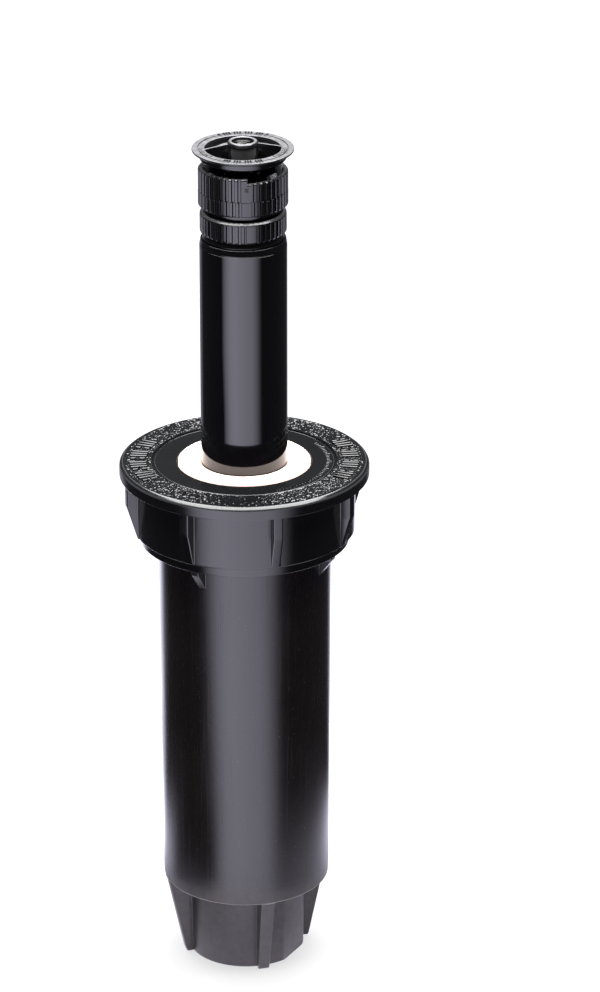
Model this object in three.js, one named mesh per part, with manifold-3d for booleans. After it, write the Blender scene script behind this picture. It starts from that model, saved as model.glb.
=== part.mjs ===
// Pop-up spray sprinkler with an adjustable rotary nozzle, riser up.
// Millimetres, +Z up. The origin is the centre of the inlet's end face, and every height
// below is measured from that face with the riser fully up.
import * as THREE from "three";
import { mergeVertices } from "three/addons/utils/BufferGeometryUtils.js";
import Module from "manifold-3d";

const wasm = await Module();
wasm.setup();

// ---------------------------------------------------------------- driving dimensions

const ROUND = 36; // sides of the large turned shapes
const FINE_ROUND = 20; // sides of the small turned shapes
const GAP = 0.3; // clearance between pieces that touch or slide

const CASE = {
  bossRadius: 13.5,
  bossFlat: 12.6, // from the axis to each of the two flats
  flatAzimuth: -45, // degrees
  bossTop: 19.3,
  footRadius: 19.4,
  topRadius: 19.9,
  neckRadius: 21,
  neckBottom: 107.4,
  neckTop: 118,
  wall: 1.9,
  floor: 21.8,
  inletRadius: 10.3,
  inletDepth: 15,
  seatRadius: 8.2,
  seatTop: 22.4,
  fins: 4,
  finThickness: 2.9,
  gussets: 4,
  gussetRadius: 23.2,
  gussetThickness: 1.8,
  guideRibs: 4,
  guideRibInner: 16.6,
  guideRibThickness: 1.6,
  guideRibTop: 103,
};

// The cap's screw thread: the ridge on the neck and the one in the cap run half a pitch apart.
const THREAD = { pitch: 3, start: 109.5, turns: 2, root: 0.75, land: 0.35, height: 0.75, steps: 18 };

const CAP = {
  bottom: 105,
  top: 124,
  lipRadius: 24.3,
  skirtRadius: 25.4,
  skirtBottom: 107.7,
  flangeRadius: 28.6,
  flangeBottom: 120.9,
  edge: 0.9, // rounding of the flange's upper edge
  bandRadius: 21, // inner edge of the textured band
  bandDrop: 0.2, // how far the smooth ring lies under it
  threadRadius: 22.2,
  ceiling: 118.7,
  seatRadius: 15.6,
  seatFloor: 121.5,
  boreRadius: 13,
  ribs: 8,
  ribRadius: 28,
  ribKnee: 115.5,
  ribThickness: 2.2,
};

const SEAL = { outer: 15.3, inner: 10.3, groove: 11.3, flange: 2.3, sleeve: 12.8 };

const RISER = {
  foot: 95.5,
  top: 178,
  outer: 9.9,
  inner: 7.9,
  socketRadius: 8.4,
  socketFloor: 171,
  flangeRadius: 14.4,
  flangeBottom: 96.4,
  flangeTop: 98.4,
  teeth: 18,
  toothHeight: 0.6,
};

const GUIDE = { bottom: 99.9, top: 102.4, outer: 17.3, sleeve: 11.7, sleeveTop: 105.5 };

const MAIN_SPRING = { bottom: 102.6, top: 117.1, radius: 13, wire: 0.65, turns: 7 };

const KNURL = { ribs: 44, depth: 0.45 };

const DEFLECTOR = {
  rim: 11.45,
  rimTop: 199.1,
  bowl: 8.5,
  hub: 3.45,
  bore: 2.4,
  hubTop: 200.85,
  foot: 191.6,
  spokes: 2,
  spokeThickness: 0.7,
  firstSpoke: -9, // degrees
};

// Azimuths in degrees: half the tab's width, and the slot it sweeps.
const THROTTLE = { tabHalf: 7, slotFrom: -10, slotTo: 40 };

const RETURN_SPRING = { bottom: 174.4, top: 181.3, radius: 1.9, wire: 0.25, turns: 5 };

// ---------------------------------------------------------------- materials

function plastic(color, roughness) {
  return new THREE.MeshStandardMaterial({ color, roughness, metalness: 0 });
}

const CASE_BLACK = plastic(0x1c1b1d, 0.5);
const CAP_BLACK = plastic(0x121214, 0.35);
const RISER_BLACK = plastic(0x0a0a0c, 0.12);
const NOZZLE_BLACK = plastic(0x151517, 0.3);
const SEAL_WHITE = plastic(0xf4f2ee, 0.35);
const RUBBER = plastic(0x202020, 0.8);
const GUIDE_GREY = plastic(0x8a8c90, 0.5);
const SCREEN_GREY = plastic(0x6f7478, 0.55);
const STEEL = new THREE.MeshStandardMaterial({ color: 0xb9bcc0, roughness: 0.25, metalness: 1 });

// ---------------------------------------------------------------- solid-making helpers

// A closed geometry as a manifold solid, turned the right way out.
function solidOf(geometry) {
  const bare = geometry.clone();
  bare.deleteAttribute("normal");
  bare.deleteAttribute("uv");
  const merged = mergeVertices(bare, 1e-4);
  const index = merged.index.array;
  const corners = [];
  for (let i = 0; i < index.length; i += 3) {
    const [a, b, c] = [index[i], index[i + 1], index[i + 2]];
    if (a !== b && b !== c && c !== a) corners.push(a, b, c);
  }
  const vertProperties = new Float32Array(merged.attributes.position.array);
  const build = (list) =>
    new wasm.Manifold(new wasm.Mesh({ numProp: 3, vertProperties, triVerts: new Uint32Array(list) }));
  const made = build(corners);
  return made.volume() > 0 ? made : build(corners.reverse());
}

// A manifold solid as a mesh node.
function node(name, solid, material) {
  const { numProp, vertProperties, triVerts } = solid.getMesh();
  const geometry = new THREE.BufferGeometry();
  geometry.setAttribute("position", new THREE.BufferAttribute(new Float32Array(vertProperties), numProp));
  geometry.setIndex(new THREE.BufferAttribute(new Uint32Array(triVerts), 1));
  geometry.computeVertexNormals();
  const mesh = new THREE.Mesh(geometry, material);
  mesh.name = name;
  return mesh;
}

function join(solids) {
  return solids.reduce((whole, piece) => whole.add(piece));
}

function cut(solid, cutters) {
  return cutters.reduce((left, cutter) => left.subtract(cutter), solid);
}

// A solid of revolution about Z. The outline is [radius, height] pairs, closed by itself unless
// it starts and ends on the axis.
function turned(outline, sides = ROUND) {
  const points = outline.map(([r, z]) => new THREE.Vector2(r, z));
  if (outline[0][0] > 0) points.push(points[0].clone());
  return solidOf(new THREE.LatheGeometry(points, sides).rotateX(Math.PI / 2));
}

function ring(inner, outer, bottom, top, sides = ROUND) {
  return turned([[inner, bottom], [outer, bottom], [outer, top], [inner, top]], sides);
}

function rod(radius, bottom, top, sides = FINE_ROUND) {
  return solidOf(
    new THREE.CylinderGeometry(radius, radius, top - bottom, sides)
      .rotateX(Math.PI / 2)
      .translate(0, 0, (top + bottom) / 2),
  );
}

// Part of a ring, between two azimuths in degrees.
function sector(inner, outer, bottom, top, from, to) {
  const [a, b] = [from, to].map(THREE.MathUtils.degToRad);
  const shape = new THREE.Shape().absarc(0, 0, outer, a, b, false).absarc(0, 0, inner, b, a, true);
  const options = { depth: top - bottom, bevelEnabled: false, curveSegments: 6 };
  return solidOf(new THREE.ExtrudeGeometry(shape, options).translate(0, 0, bottom));
}

// A flat upright fin: an outline of [radius, height] pairs, given a thickness and an azimuth.
function fin(outline, thickness, azimuth) {
  const shape = new THREE.Shape(outline.map(([r, z]) => new THREE.Vector2(r, z)));
  return solidOf(
    new THREE.ExtrudeGeometry(shape, { depth: thickness, bevelEnabled: false })
      .translate(0, 0, -thickness / 2)
      .rotateX(Math.PI / 2)
      .rotateZ(azimuth),
  );
}

// The same solid repeated evenly round the Z axis.
function around(count, make, first = 0) {
  return Array.from({ length: count }, (_, i) => make(first + (i * 2 * Math.PI) / count));
}

// An outline of [radius, height] pairs swept along a right-handed screw.
function screwed(outline, { turns, rise, stepsPerTurn }) {
  const shape = new THREE.Shape(outline.map(([r, z]) => new THREE.Vector2(r, z)));
  const steps = Math.round(turns * stepsPerTurn);
  const geometry = new THREE.ExtrudeGeometry(shape, { depth: 1, steps, bevelEnabled: false });
  const position = geometry.attributes.position;
  for (let i = 0; i < position.count; i++) {
    const [r, z, along] = [position.getX(i), position.getY(i), position.getZ(i)];
    const azimuth = along * turns * 2 * Math.PI;
    position.setXYZ(i, r * Math.cos(azimuth), r * Math.sin(azimuth), z + along * rise);
  }
  return solidOf(geometry);
}

// A coil spring of round wire.
function coil({ radius, bottom, top, turns, wire }, stepsPerTurn, sides) {
  const section = Array.from({ length: sides }, (_, i) => {
    const a = (i * 2 * Math.PI) / sides;
    return [radius + wire * Math.cos(a), bottom + wire + wire * Math.sin(a)];
  });
  return screwed(section, { turns, rise: top - bottom - 2 * wire, stepsPerTurn });
}

// One thread ridge on a wall of the given radius, standing out (side 1) or in (side -1).
function threadRidge(wall, start, side) {
  const t = THREAD;
  const buried = wall - side * 0.4;
  const crest = wall + side * t.height;
  const outline = [
    [buried, start - t.root],
    [crest, start - t.land],
    [crest, start + t.land],
    [buried, start + t.root],
  ];
  return screwed(outline, { turns: t.turns, rise: t.turns * t.pitch, stepsPerTurn: t.steps });
}

// A knurled ring of upright ribs. topOf gives the upper edge's height at an azimuth.
function knurled(crest, inner, bottom, topOf) {
  const outline = Array.from({ length: 2 * KNURL.ribs }, (_, i) => {
    const azimuth = (i * Math.PI) / KNURL.ribs;
    const r = i % 2 ? crest : crest - KNURL.depth;
    return new THREE.Vector2(r * Math.cos(azimuth), r * Math.sin(azimuth));
  });
  const shape = new THREE.Shape(outline);
  shape.holes.push(new THREE.Path().absarc(0, 0, inner, 0, 2 * Math.PI, true));
  const options = { depth: 1, bevelEnabled: false, curveSegments: FINE_ROUND };
  const geometry = new THREE.ExtrudeGeometry(shape, options);
  const position = geometry.attributes.position;
  for (let i = 0; i < position.count; i++) {
    const azimuth = Math.atan2(position.getY(i), position.getX(i));
    position.setZ(i, position.getZ(i) > 0.5 ? topOf(azimuth) : bottom);
  }
  return solidOf(geometry);
}

// ---------------------------------------------------------------- case

// The can, its threaded neck and its inlet boss are one moulding.
function caseBody() {
  const c = CASE;
  const shell = turned([
    [c.inletRadius, 0],
    [c.bossRadius, 0],
    [c.bossRadius + GAP, c.bossTop],
    [c.footRadius - 0.5, c.bossTop],
    [c.footRadius - 0.1, c.bossTop + 0.4],
    [c.footRadius, c.bossTop + 3],
    [c.topRadius, c.neckBottom - 1.2],
    [c.neckRadius, c.neckBottom],
    [c.neckRadius, c.neckTop],
    [c.neckRadius - 2.1, c.neckTop],
    [c.topRadius - c.wall + 0.2, c.neckTop - 2],
    [c.footRadius - c.wall, c.floor + 3],
    [c.footRadius - c.wall - 1.2, c.floor],
    [c.seatRadius + 0.8, c.floor],
    [c.seatRadius + 0.6, c.seatTop],
    [c.seatRadius, c.seatTop],
    [c.seatRadius, c.inletDepth + 0.6],
    [c.inletRadius - 0.7, c.inletDepth],
  ]);

  const flatCutter = [[c.bossFlat, -1], [16, -1], [16, c.bossTop - 1], [c.bossFlat, c.bossTop - 1]];
  const firstFlat = THREE.MathUtils.degToRad(c.flatAzimuth);
  const flats = around(2, (azimuth) => fin(flatCutter, 16, azimuth), firstFlat);

  const finOutline = [
    [c.inletRadius + 1.5, 0],
    [15, 0],
    [15.2, 0.8],
    [19.1, c.bossTop],
    [19.1, c.bossTop + 0.2],
    [c.inletRadius + 1.5, c.bossTop + 0.2],
  ];
  const fins = around(c.fins, (azimuth) => fin(finOutline, c.finThickness, azimuth));

  const gussetTop = CAP.bottom - GAP;
  const gussetOutline = [
    [c.topRadius - 0.6, gussetTop - 4.9],
    [c.topRadius + 0.1, gussetTop - 4.9],
    [c.gussetRadius, gussetTop - 0.6],
    [c.gussetRadius, gussetTop],
    [c.topRadius - 0.6, gussetTop],
  ];
  const gussets = around(c.gussets, (a) => fin(gussetOutline, c.gussetThickness, a), Math.PI / 4);

  const ribOutline = [
    [c.guideRibInner, c.floor + 2],
    [c.topRadius - 1, c.floor + 2],
    [c.topRadius - 1, c.guideRibTop],
    [c.guideRibInner, c.guideRibTop],
  ];
  const guideRibs = around(c.guideRibs, (a) => fin(ribOutline, c.guideRibThickness, a));

  const thread = threadRidge(c.neckRadius, THREAD.start, 1);
  return join([cut(shell, flats), ...fins, ...gussets, ...guideRibs, thread]);
}

// Lies on the neck's end face, under the cap's ceiling.
function capGasket() {
  return ring(CASE.neckRadius - 2, CASE.neckRadius - 0.1, CASE.neckTop + 0.05, CAP.ceiling - 0.15);
}

// ---------------------------------------------------------------- cap and seal

function cap() {
  const c = CAP;
  const shell = turned([
    [c.threadRadius, c.bottom],
    [c.lipRadius - 0.3, c.bottom],
    [c.lipRadius, c.bottom + 0.3],
    [c.lipRadius + 0.3, c.skirtBottom - 0.4],
    [c.skirtRadius, c.skirtBottom],
    [c.skirtRadius, c.flangeBottom],
    [c.flangeRadius - 0.3, c.flangeBottom],
    [c.flangeRadius, c.flangeBottom + 0.3],
    [c.flangeRadius, c.top - c.edge],
    [c.flangeRadius - 0.27 * c.edge, c.top - 0.27 * c.edge],
    [c.flangeRadius - c.edge, c.top],
    [c.bandRadius, c.top],
    [c.bandRadius - c.bandDrop, c.top - c.bandDrop],
    [c.seatRadius, c.top - c.bandDrop],
    [c.seatRadius, c.seatFloor],
    [c.boreRadius, c.seatFloor],
    [c.boreRadius, c.ceiling],
    [c.threadRadius, c.ceiling],
  ]);
  const ribOutline = [
    [c.skirtRadius - 0.5, c.skirtBottom],
    [c.skirtRadius + 0.05, c.skirtBottom],
    [c.ribRadius, c.ribKnee],
    [c.ribRadius, c.flangeBottom + 0.2],
    [c.skirtRadius - 0.5, c.flangeBottom + 0.2],
  ];
  const ribs = around(c.ribs, (azimuth) => fin(ribOutline, c.ribThickness, azimuth));
  const thread = threadRidge(c.threadRadius, THREAD.start - THREAD.pitch / 2, -1);
  return join([shell, ...ribs, thread]);
}

// Three wiping lips under a flat top ring.
function wiperSeal() {
  const s = SEAL;
  const top = CAP.top;
  return turned([
    [s.inner, top],
    [s.inner, top - 0.9],
    [s.groove, top - 1.9],
    [s.inner, top - 2.5],
    [s.inner, top - 3],
    [s.groove, top - 3.8],
    [s.inner, top - 4.4],
    [s.inner, top - 5.1],
    [s.sleeve, top - 5.1],
    [s.sleeve, top - s.flange],
    [s.outer, top - s.flange],
    [s.outer, top],
  ]);
}

function springWasher() {
  return ring(11, 17.8, MAIN_SPRING.top + 0.2, CAP.ceiling - GAP);
}

// ---------------------------------------------------------------- riser

// Small wedges standing on a ring: the ratchet's teeth.
function ratchetTeeth(root, tip, phase) {
  const outline = [[11.2, root], [14, root], [14, tip], [11.2, tip]];
  return around(RISER.teeth, (azimuth) => fin(outline, 0.8, azimuth), phase);
}

// Keeps the riser from turning by itself: its notches run on the case's guide ribs.
function ratchetGuide() {
  const g = GUIDE;
  const body = turned([
    [RISER.outer + GAP, g.bottom],
    [g.outer, g.bottom],
    [g.outer, g.top],
    [g.sleeve, g.top],
    [g.sleeve, g.sleeveTop],
    [RISER.outer + GAP, g.sleeveTop],
  ]);
  const notchOutline = [
    [CASE.guideRibInner - GAP, g.bottom - 1],
    [CASE.topRadius, g.bottom - 1],
    [CASE.topRadius, g.top + 1],
    [CASE.guideRibInner - GAP, g.top + 1],
  ];
  const notches = around(CASE.guideRibs, (a) => fin(notchOutline, CASE.guideRibThickness + 0.8, a));
  const teeth = ratchetTeeth(g.bottom + 0.2, g.bottom - RISER.toothHeight, 0);
  return join([cut(body, notches), ...teeth]);
}

function riserStem() {
  const r = RISER;
  const tube = turned([
    [r.inner, r.foot],
    [r.outer, r.foot],
    [r.outer, r.flangeBottom],
    [r.flangeRadius, r.flangeBottom],
    [r.flangeRadius, r.flangeTop],
    [r.outer, r.flangeTop],
    [r.outer, r.top - 0.6],
    [r.outer - 0.4, r.top],
    [r.socketRadius, r.top],
    [r.socketRadius, r.socketFloor],
    [r.inner, r.socketFloor],
  ]);
  const teeth = ratchetTeeth(r.flangeTop - 0.2, r.flangeTop + r.toothHeight, Math.PI / r.teeth);
  return join([tube, ...teeth]);
}

// Seals on the seat at the case's floor when the riser is down.
function checkValveSeal() {
  return ring(6.4, 9.4, RISER.foot - 1.8, RISER.foot - 0.2, FINE_ROUND);
}

// A plug pressed into the riser's foot that holds the check valve's seal.
function checkValveRetainer() {
  const foot = RISER.foot;
  return turned([
    [4.6, foot - 2.6],
    [7.4, foot - 2.6],
    [7.4, foot - 1.9],
    [6.2, foot - 1.9],
    [6.2, foot],
    [7.7, foot],
    [7.7, foot + 6],
    [7.2, foot + 6.5],
    [4.6, foot + 6.5],
  ], FINE_ROUND);
}

// A basket strainer hung under the nozzle, with two rows of slots.
function filterScreen() {
  const top = RISER.socketFloor - 1.2;
  const basket = turned([
    [0, top - 24.3],
    [5.9, top - 24],
    [6.9, top - 0.9],
    [7.6, top - 0.9],
    [7.6, top],
    [6.1, top],
    [5.2, top - 23.2],
    [0, top - 23.4],
  ], FINE_ROUND);
  const rows = [top - 12, top - 22];
  const slots = rows.flatMap((low) =>
    around(8, (azimuth) => fin([[4, low], [9, low], [9, low + 8.5], [4, low + 8.5]], 1.7, azimuth)),
  );
  return cut(basket, slots);
}

// ---------------------------------------------------------------- nozzle

// Screws into the riser. Its web guides the shaft and lets the water past in six holes.
function nozzleBase() {
  const body = turned([
    [6.6, 170],
    [7.5, 170],
    [7.5, 171.8],
    [8.1, 171.8],
    [8.1, 178.2],
    [9.3, 178.2],
    [9.3, 179.3],
    [8.4, 179.3],
    [8.4, 184.2],
    [6.9, 184.2],
    [6.9, 182.9],
    [1.2, 182.9],
    [1.2, 181.5],
    [6.6, 181.5],
  ], FINE_ROUND);
  const slot = sector(6, 9, 179.9, 181.5, THROTTLE.slotFrom, THROTTLE.slotTo);
  return cut(body, [...waterHoles(181, 183.5), slot]);
}

// The water passes in six holes, in the fixed web and in the throttle that turns under it.
function waterHoles(bottom, top) {
  return around(6, (a) =>
    rod(1.3, bottom, top, 12).translate([4.3 * Math.cos(a), 4.3 * Math.sin(a), 0]),
  );
}

// Turned by the radius ring: a tab reaches through the base's slot into the ring's notch.
function throttle() {
  const t = THROTTLE;
  const disc = ring(2.6, 6.3, 180.2, 181.2, FINE_ROUND);
  const tab = sector(6, 8.95, 180.2, 181.2, -t.tabHalf, t.tabHalf);
  return join([cut(disc, waterHoles(180, 182)), tab]);
}

function nozzleGasket() {
  return ring(7.6, 8.3, RISER.socketFloor + 0.15, RISER.socketFloor + 0.65, FINE_ROUND);
}

function radiusRing() {
  const t = THROTTLE;
  const notch = sector(8, 9.05, 179, 181.5, -t.tabHalf - 2, t.tabHalf + 2);
  return cut(knurled(9.8, 8.6, 179.5, () => 184.5), [notch]);
}

// The fixed half of the arc valve, between the two knurled rings.
function arcValveSeat() {
  return turned([
    [5, 183.1],
    [6.7, 183.1],
    [6.7, 184.4],
    [8.2, 184.4],
    [8.2, 187.6],
    [5.4, 188.4],
    [5, 188.4],
  ], FINE_ROUND);
}

// The turning half: a knurled collar whose upper edge climbs in one turn and drops in a step.
function arcCollar() {
  const high = 195.05;
  const rise = 1.15;
  const step = THREE.MathUtils.degToRad(-100.7);
  const edge = (azimuth) => {
    const turn = THREE.MathUtils.euclideanModulo(azimuth - step, 2 * Math.PI) / (2 * Math.PI);
    return high - rise * (1 - turn);
  };
  const upper = knurled(10.1, 8.9, 190.05, edge);
  const lower = knurled(10.15, 8.5, 185.5, () => 190.1);
  const web = ring(6, 9.2, 188.9, 190.1, FINE_ROUND);
  return join([upper, lower, web]);
}

// The turning deflector: cone and band below, open bowl with a spoked hub above.
function deflector() {
  const d = DEFLECTOR;
  const body = turned([
    [d.bore, d.foot],
    [3.4, d.foot],
    [5.6, 194.6],
    [6.4, 196.2],
    [9.3, 196.7],
    [9.8, 197],
    [9.8, 198],
    [d.rim - 0.15, d.rimTop - 0.5],
    [d.rim, d.rimTop - 0.35],
    [d.rim, d.rimTop - 0.1],
    [d.rim - 0.1, d.rimTop],
    [d.bowl, d.rimTop],
    [8, 197.6],
    [6, 196.9],
    [4.7, 195.6],
    [4.4, 194.9],
    [d.hub, 194.9],
    [d.hub, d.hubTop - 0.2],
    [d.hub - 0.2, d.hubTop],
    [d.bore, d.hubTop],
  ]);
  const spokeOutline = [
    [d.hub - 0.3, 194.5],
    [4.5, 194.5],
    [d.bowl + 0.2, 197.9],
    [d.bowl + 0.2, d.rimTop],
    [d.hub - 0.3, d.hubTop - 0.7],
  ];
  const first = THREE.MathUtils.degToRad(d.firstSpoke);
  const spokes = around(d.spokes, (azimuth) => fin(spokeOutline, d.spokeThickness, azimuth), first);
  return join([body, ...spokes]);
}

// The viscous brake that slows the deflector: a drum in the hub round a rotor on the shaft.
function brakeDrum() {
  return ring(1.75, 2.3, 192, 198, FINE_ROUND);
}

function brakeRotor() {
  return ring(1, 1.6, 192.6, 197.4, FINE_ROUND);
}

function deflectorShaft() {
  return rod(0.9, 173, 198.3, 24);
}

function shaftScrew() {
  const slot = solidOf(new THREE.BoxGeometry(6, 0.7, 1.2).translate(0, 0, 199.9));
  return cut(rod(2.1, 198.5, 199.9), [slot]);
}

function shaftRetainer() {
  return ring(1, 2.9, 173.2, 174.2, FINE_ROUND);
}

// ---------------------------------------------------------------- assembly

const sprinkler = new THREE.Group();

const housing = new THREE.Group();
housing.add(node("case_body", caseBody(), CASE_BLACK));
housing.add(node("cap_gasket", capGasket(), RUBBER));

const lid = new THREE.Group();
lid.add(node("cap", cap(), CAP_BLACK));
lid.add(node("wiper_seal", wiperSeal(), SEAL_WHITE));
lid.add(node("spring_washer", springWasher(), GUIDE_GREY));
lid.add(node("retraction_spring", coil(MAIN_SPRING, 12, 4), STEEL));

const riser = new THREE.Group();
riser.add(node("ratchet_guide", ratchetGuide(), GUIDE_GREY));
riser.add(node("riser_stem", riserStem(), RISER_BLACK));
riser.add(node("check_valve_seal", checkValveSeal(), RUBBER));
riser.add(node("check_valve_retainer", checkValveRetainer(), GUIDE_GREY));
riser.add(node("filter_screen", filterScreen(), SCREEN_GREY));

const nozzle = new THREE.Group();
nozzle.add(node("nozzle_base", nozzleBase(), NOZZLE_BLACK));
nozzle.add(node("nozzle_gasket", nozzleGasket(), RUBBER));
nozzle.add(node("radius_ring", radiusRing(), NOZZLE_BLACK));
nozzle.add(node("throttle_ring", throttle(), GUIDE_GREY));
nozzle.add(node("arc_valve_seat", arcValveSeat(), NOZZLE_BLACK));
nozzle.add(node("arc_collar", arcCollar(), NOZZLE_BLACK));
nozzle.add(node("deflector", deflector(), NOZZLE_BLACK));
nozzle.add(node("brake_drum", brakeDrum(), GUIDE_GREY));
nozzle.add(node("brake_rotor", brakeRotor(), NOZZLE_BLACK));
nozzle.add(node("deflector_shaft", deflectorShaft(), STEEL));
nozzle.add(node("shaft_screw", shaftScrew(), STEEL));
nozzle.add(node("shaft_retainer", shaftRetainer(), GUIDE_GREY));
nozzle.add(node("return_spring", coil(RETURN_SPRING, 8, 3), STEEL));

sprinkler.add(housing, lid, riser, nozzle);

export default sprinkler;
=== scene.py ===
import math

import bmesh
import bpy
import numpy as np
from mathutils import Matrix, Vector

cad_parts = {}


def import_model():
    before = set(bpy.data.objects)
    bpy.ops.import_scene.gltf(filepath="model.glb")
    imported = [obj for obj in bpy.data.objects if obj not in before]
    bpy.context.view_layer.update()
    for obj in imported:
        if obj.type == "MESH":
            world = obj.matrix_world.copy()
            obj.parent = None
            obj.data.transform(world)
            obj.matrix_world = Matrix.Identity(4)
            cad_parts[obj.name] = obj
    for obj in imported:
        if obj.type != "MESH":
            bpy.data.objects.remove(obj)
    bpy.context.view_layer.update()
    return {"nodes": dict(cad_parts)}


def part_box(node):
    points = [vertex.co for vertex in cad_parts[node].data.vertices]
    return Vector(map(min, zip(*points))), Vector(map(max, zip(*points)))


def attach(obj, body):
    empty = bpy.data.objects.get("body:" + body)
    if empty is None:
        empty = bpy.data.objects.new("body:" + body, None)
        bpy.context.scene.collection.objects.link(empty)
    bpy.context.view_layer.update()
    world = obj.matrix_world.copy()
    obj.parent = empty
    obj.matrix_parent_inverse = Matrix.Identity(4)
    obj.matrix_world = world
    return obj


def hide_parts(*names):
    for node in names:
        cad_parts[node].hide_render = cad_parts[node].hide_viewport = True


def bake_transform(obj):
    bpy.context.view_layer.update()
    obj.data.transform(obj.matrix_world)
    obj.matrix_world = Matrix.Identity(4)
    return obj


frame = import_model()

MM = 0.001
TAU = 2 * math.pi


def low(node):
    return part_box(node)[0].z / MM


def high(node):
    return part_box(node)[1].z / MM


def reach(node):
    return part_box(node)[1].x / MM


# ---------------------------------------------------------------- shared sizes
# Radii and heights in millimetres.

CAP_TOP = high("cap")
CAP_FOOT = low("cap")
CAP_R = reach("cap")
NECK_TOP = high("case_body")
SEAL_R = reach("wiper_seal") - 0.22
SEAL_HOLE_R = reach("wiper_seal") + 0.08
STEM_TOP = high("riser_stem")
STEM_FOOT = low("riser_stem")
STEM_R = 9.9
CASE_FOOT = 19.3  # height of the case's lower rim
CASE_FOOT_R = 19.4
CASE_TOP_R = 19.9
VIEW_TURN = math.radians(15.7)  # how far the camera stands to the left of -Y

# ---------------------------------------------------------------- outlines and meshes


def winding(points):
    """Twice the signed area inside a closed outline, positive when it runs anticlockwise."""
    following = np.roll(points, -1, 0)
    return np.sum(points[:, 0] * following[:, 1] - following[:, 0] * points[:, 1])


def rounded(corners, steps=4, hold=0.25):
    """A closed outline from (r, z, setback) corners.

    A corner is rounded over its setback, with a holding point either side so that flats stay
    flat. Returns the points and a mask that is 1 on the rounded convex edges.
    """
    points, edge = [], []
    plain = np.array([c[:2] for c in corners], float)
    following = np.roll(plain, -1, 0)
    turning = np.sign(winding(plain))
    for i, corner in enumerate(corners):
        here = plain[i]
        setback = corner[2] if len(corner) > 2 else 0
        if setback == 0:
            points.append(here)
            edge.append(0)
            continue
        to_last = plain[i - 1] - here
        to_next = following[i] - here
        last_len, next_len = np.linalg.norm(to_last), np.linalg.norm(to_next)
        to_last, to_next = to_last / last_len, to_next / next_len
        start = here + to_last * min(setback, 0.4 * last_len)
        end = here + to_next * min(setback, 0.4 * next_len)
        points.append(start + to_last * min(hold, 0.08 * last_len))
        edge.append(0)
        cross = to_next[0] * to_last[1] - to_next[1] * to_last[0]
        convex = 1 if cross * turning > 0.05 else 0
        for t in np.linspace(0, 1, steps + 1):
            points.append((1 - t) ** 2 * start + 2 * t * (1 - t) * here + t * t * end)
            edge.append(convex if 0 < t < 1 else 0)
        points.append(end + to_next * min(hold, 0.08 * next_len))
        edge.append(0)
    return np.array(points), np.array(edge, float)


def even(count):
    return np.arange(count) * TAU / count


def wrapped(angle):
    return (angle + math.pi) % TAU - math.pi


def close_to(angle, centres):
    """The distance from each angle to the nearest centre."""
    return np.min([np.abs(wrapped(angle - c)) for c in centres], axis=0)


def smooth(t):
    t = np.clip(t, 0, 1)
    return t * t * (3 - 2 * t)


QUARTER = np.array([0, 0.26, 0.5, 0.71, 0.87, 0.97, 1.0])  # steps along a quarter round


class Rib:
    """The cross-section of upright ribs: rounded shoulders, steep sides and a filleted root.

    Widths are in millimetres at radius, and depth is how far the rib stands out where it is
    deepest.
    """

    DRAFT = 0.03  # how far a side leans out between its shoulder and its root

    def __init__(self, centres, width, radius, depth, shoulder=0.3, root=0.25):
        self.centres, self.radius, self.depth = centres, radius, depth
        self.half, self.shoulder, self.root = width / 2, shoulder, root

    def weight(self, angle):
        away = close_to(angle, self.centres) * self.radius
        over = np.clip((away - self.half + self.shoulder) / self.shoulder, 0, 1)
        top = 1 - self.shoulder / self.depth * (1 - np.sqrt(1 - over**2))
        under = np.clip((self.half + self.DRAFT + self.root - away) / self.root, 0, 1)
        foot = self.root / self.depth * (1 - np.sqrt(1 - under**2))
        return np.where(away <= self.half, top, foot)

    def angles(self):
        away = np.concatenate([
            [0, self.half * 0.5, self.half - self.shoulder - 0.08],
            self.half - self.shoulder + self.shoulder * QUARTER,
            self.half + self.DRAFT + self.root * (1 - QUARTER),
            [self.half + self.root + 0.12],
        ]) / self.radius
        return np.concatenate([c + side * away for c in self.centres for side in (-1, 1)])


def gathered(*sets):
    """One sorted list of angles, without doubles."""
    found = np.sort(np.concatenate(sets) % TAU)
    return found[np.append(np.diff(found), found[0] + TAU - found[-1]) > 1e-5]


def placed(name, data):
    """A new object in the scene."""
    obj = bpy.data.objects.new(name, data)
    bpy.context.scene.collection.objects.link(obj)
    return obj


def mesh_object(name, verts, faces, edge=None):
    """An object from points in millimetres. edge is 1 where a point lies on a rounded edge."""
    mesh = bpy.data.meshes.new(name)
    mesh.from_pydata((verts * MM).tolist(), [], faces)
    if edge is not None:
        attribute = mesh.attributes.new("edge", "FLOAT", "POINT")
        attribute.data.foreach_set("value", np.asarray(edge, np.float32))
    return placed(name, mesh)


def shade(obj, degrees=32):
    """Smooth shading, with sharp edges above an angle."""
    mesh = obj.data
    mesh.polygons.foreach_set("use_smooth", np.ones(len(mesh.polygons), bool))
    mesh.set_sharp_from_angle(angle=math.radians(degrees))
    mesh.update()
    return obj


def grid_faces(rows, columns, close_rows):
    """Quads of a grid whose columns close on themselves, and whose rows may too."""
    i = np.arange(rows if close_rows else rows - 1)
    j = np.arange(columns)
    ii, jj = np.meshgrid(i, j, indexing="ij")
    up, right = (ii + 1) % rows, (jj + 1) % columns
    corners = [ii * columns + jj, ii * columns + right, up * columns + right, up * columns + jj]
    return np.stack(corners, -1).reshape(-1, 4).tolist()


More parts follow.
